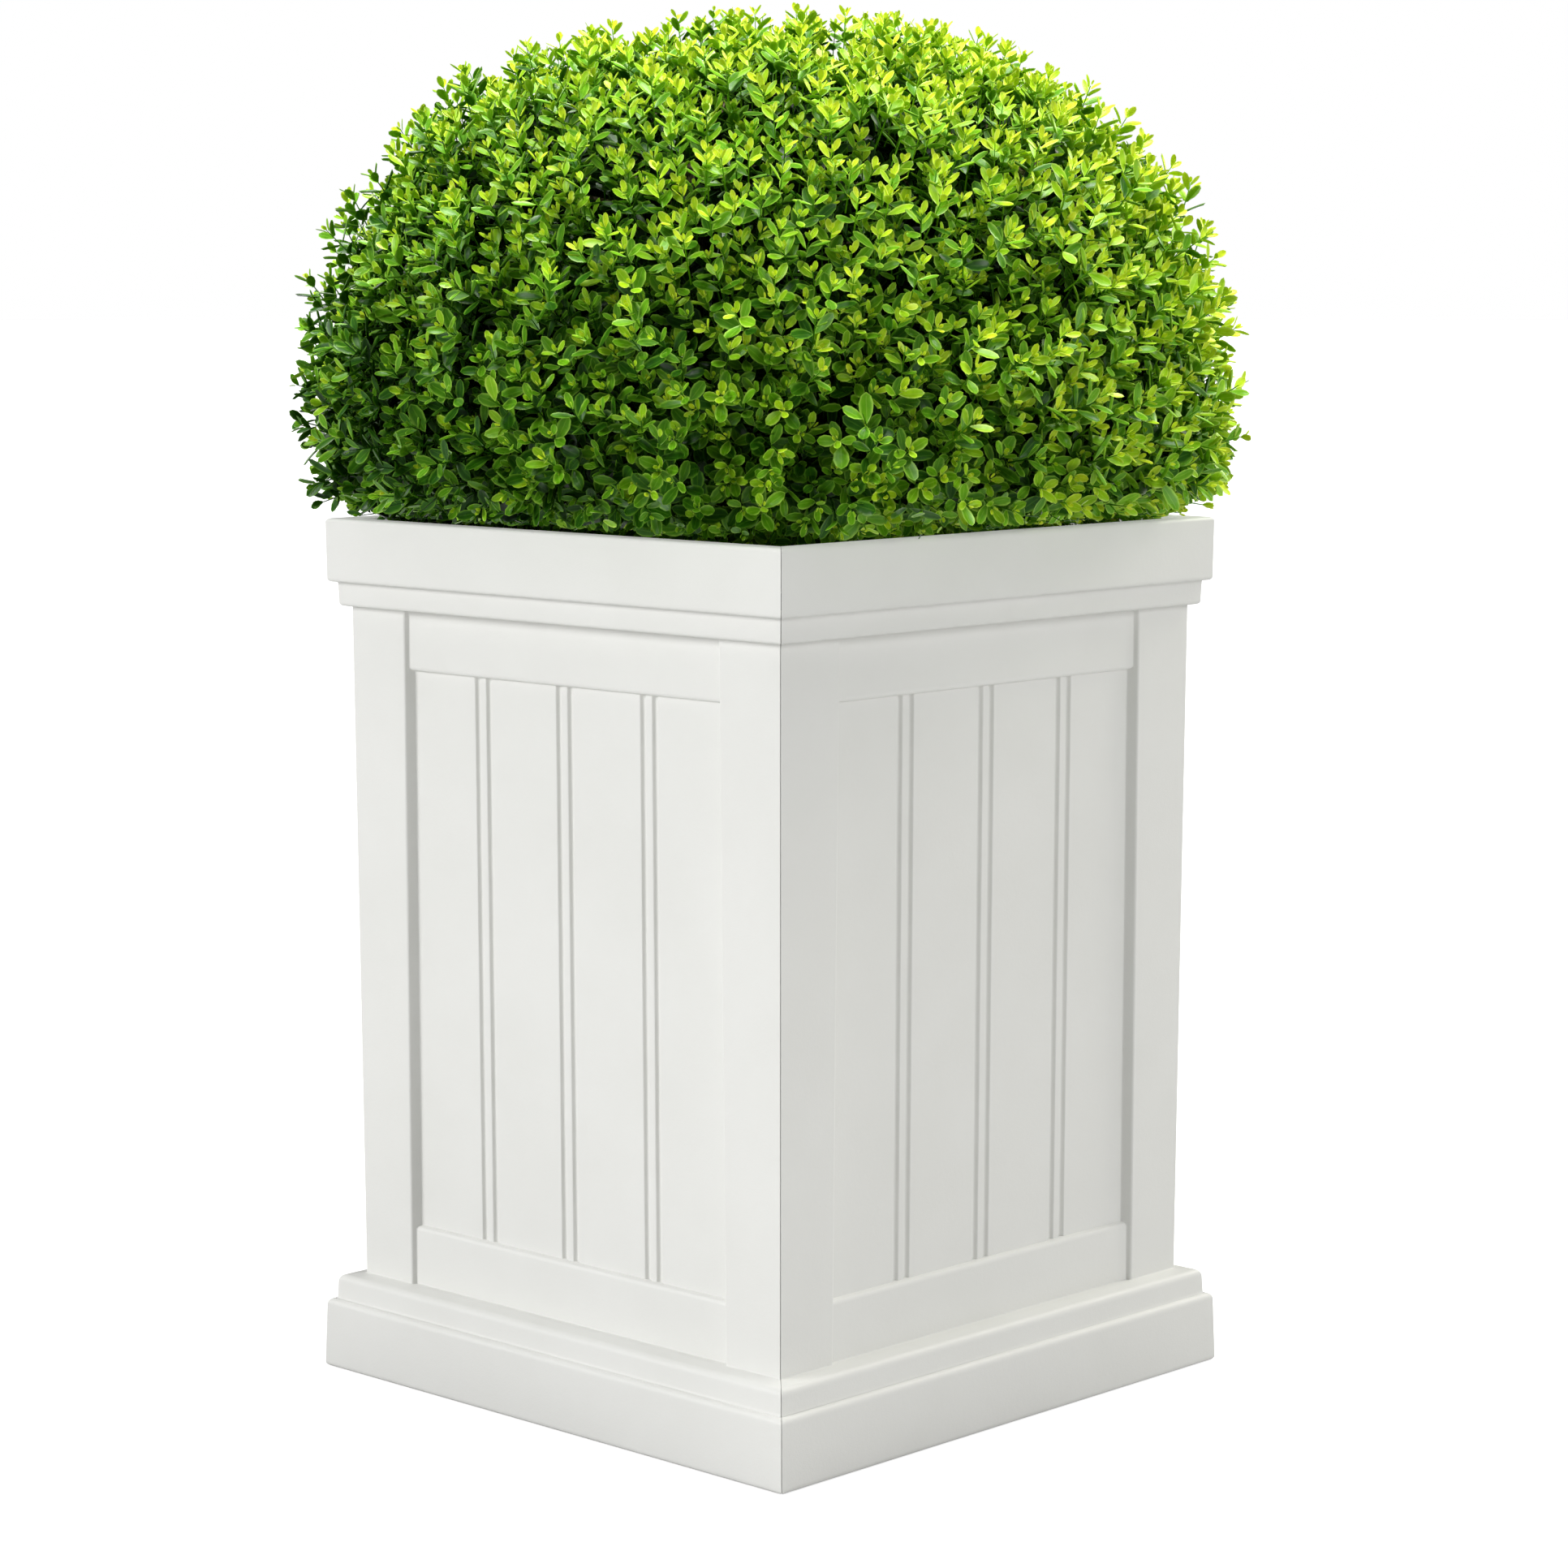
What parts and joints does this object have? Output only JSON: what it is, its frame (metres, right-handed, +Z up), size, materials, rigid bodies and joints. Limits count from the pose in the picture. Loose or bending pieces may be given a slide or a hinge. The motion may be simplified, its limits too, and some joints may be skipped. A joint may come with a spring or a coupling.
{
  "type": "versailles planter",
  "caption": "Square white garden planter with stepped rim and plinth, framed bead-board walls on corner posts and a shelf, holding a lift-out pot of clipped box.",
  "frame": {"origin": "on the floor, under the middle of the plinth", "axes": "+Z up, -Y out of the front wall, +X out of the right wall"},
  "size_m": [0.716, 0.716, 1.085],
  "materials": {
    "white_plastic": "satin white moulded plastic with a fine stipple",
    "inner_plastic": "plain satin off-white plastic",
    "screw_steel": "stainless steel, bright",
    "black_plastic": "dull black recycled plastic",
    "potting_mix": "loose composted bark, rough",
    "bark": "finely fissured bark",
    "leaves": "small glossy green leaves"
  },
  "bodies": {
    "planter": {"front_wall": "white_plastic", "front_screw_1": "screw_steel", "front_screw_2": "screw_steel", "front_screw_3": "screw_steel", "front_screw_4": "screw_steel", "front_screw_5": "screw_steel", "front_screw_6": "screw_steel", "right_wall": "white_plastic", "right_screw_1": "screw_steel", "right_screw_2": "screw_steel", "right_screw_3": "screw_steel", "right_screw_4": "screw_steel", "right_screw_5": "screw_steel", "right_screw_6": "screw_steel", "back_wall": "white_plastic", "back_screw_1": "screw_steel", "back_screw_2": "screw_steel", "back_screw_3": "screw_steel", "back_screw_4": "screw_steel", "back_screw_5": "screw_steel", "back_screw_6": "screw_steel", "left_wall": "white_plastic", "left_screw_1": "screw_steel", "left_screw_2": "screw_steel", "left_screw_3": "screw_steel", "left_screw_4": "screw_steel", "left_screw_5": "screw_steel", "left_screw_6": "screw_steel", "front_right_lower_post": "inner_plastic", "front_right_upper_angle": "inner_plastic", "back_right_lower_post": "inner_plastic", "back_right_upper_angle": "inner_plastic", "back_left_lower_post": "inner_plastic", "back_left_upper_angle": "inner_plastic", "front_left_lower_post": "inner_plastic", "front_left_upper_angle": "inner_plastic", "base_panel": "inner_plastic", "pot_shelf": "inner_plastic"},
    "plant": {"grower_pot": "black_plastic", "potting_mix": "potting_mix", "middle_stem": "bark", "leaning_stem_1": "bark", "leaning_stem_2": "bark", "leaning_stem_3": "bark", "leaning_stem_4": "bark", "leaning_stem_5": "bark", "leaning_stem_6": "bark", "box_foliage": "leaves"}
  },
  "joints": [
    {"name": "plant_lift", "type": "slide", "parent": "planter", "child": "plant", "axis": [0, 0, 1], "range_m": [0, 0.335]}
  ]
}
